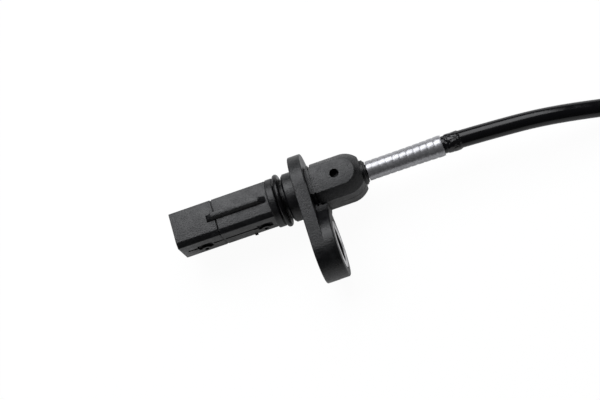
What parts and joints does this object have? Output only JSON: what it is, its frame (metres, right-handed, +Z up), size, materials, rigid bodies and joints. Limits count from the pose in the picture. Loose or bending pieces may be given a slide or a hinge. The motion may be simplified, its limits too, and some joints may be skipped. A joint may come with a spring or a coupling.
{
  "type": "wheel speed sensor",
  "caption": "Flange-mounted wheel speed sensor with a square-section probe head, seal ring, bushed bolt ear, sleeved cable exit and a coiled lead ending in a plug.",
  "frame": {"origin": "under the middle of the sensor, its head, flange and sleeved cable exit taken without the free lead, on the surface it lies on", "axes": "+X along the probe axis from the tip to the cable, -Y towards the bolt ear, +Z up out of the wide face of the head"},
  "size_m": [0.1899, 0.0591, 0.0236],
  "materials": {
    "resin": "fine mottled moulded surface",
    "carrier_resin": "plain moulded",
    "chip_resin": "satin",
    "magnet": "ground",
    "capacitor": "satin ceramic body",
    "tinned_copper": "tinned",
    "core_insulation": "satin insulation",
    "seal_rubber": "smooth, slightly glossy",
    "bush_steel": "turned",
    "grey_sleeve": "ringed, half gloss",
    "tape": "wrinkled glossy tape",
    "cable_jacket": "smooth and glossy",
    "plug_plastic": "plain moulded",
    "lock_plastic": "plain moulded"
  },
  "bodies": {
    "root": {"sensor_body": "resin", "head_cap": "resin", "hall_chip": "chip_resin", "bias_magnet": "magnet", "element_carrier": "carrier_resin", "lead_a": "tinned_copper", "lead_b": "tinned_copper", "crimp_a": "tinned_copper", "crimp_b": "tinned_copper", "capacitor": "capacitor", "core_a": "core_insulation", "core_b": "core_insulation", "o_ring": "seal_rubber", "flange_bush": "bush_steel", "inner_cable": "cable_jacket", "grey_sleeve": "grey_sleeve", "tape_wrap": "tape", "cable_run": "cable_jacket", "cable_coil": "cable_jacket", "cable_tail": "cable_jacket", "connector_housing": "plug_plastic", "cable_grommet": "seal_rubber", "terminal_a": "tinned_copper", "terminal_b": "tinned_copper", "terminal_lock": "lock_plastic"}
  },
  "joints": []
}
